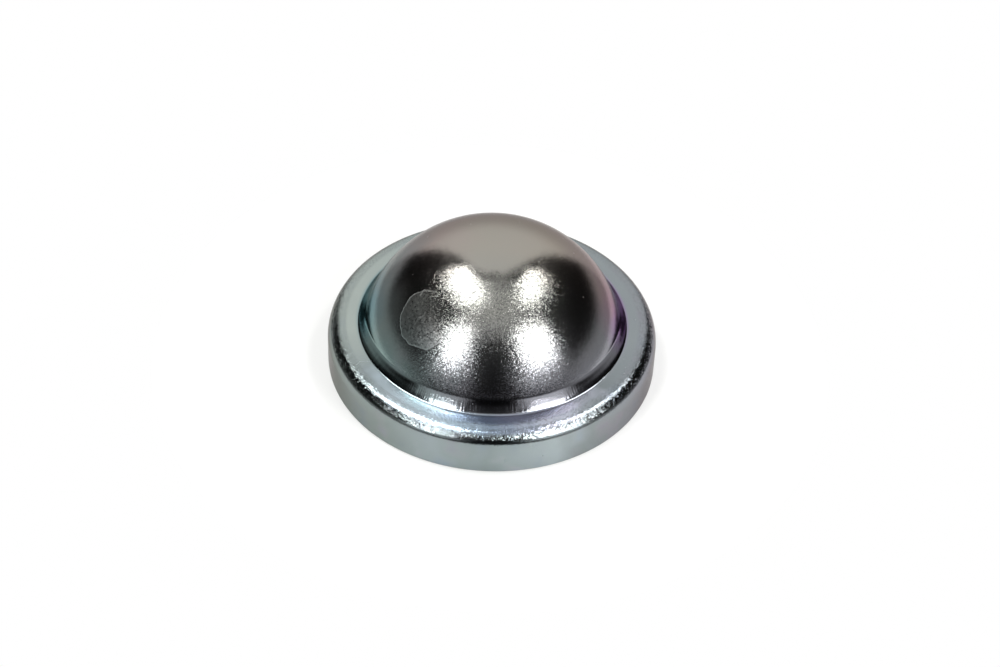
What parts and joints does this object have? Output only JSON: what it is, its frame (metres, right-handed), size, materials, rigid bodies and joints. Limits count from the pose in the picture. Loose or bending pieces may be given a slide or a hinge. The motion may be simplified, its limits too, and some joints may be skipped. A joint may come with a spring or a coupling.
{
  "type": "hub grease cap",
  "caption": "Round pressed-steel hub cap that keeps grease in: a dome with a flared foot, a flat ring, a rounded shoulder and a straight skirt that presses into the hub.",
  "frame": {"origin": "centre of the skirt's open edge, on the plane that the cap rests on", "axes": "+Z along the cap's axis, from the open edge to the crown of the dome"},
  "size_m": [0.062, 0.062, 0.0276],
  "materials": {
    "zinc_plated_steel": "bright zinc plate on pressed steel, satin"
  },
  "bodies": {
    "root": {"grease_cap": "zinc_plated_steel"}
  },
  "joints": []
}
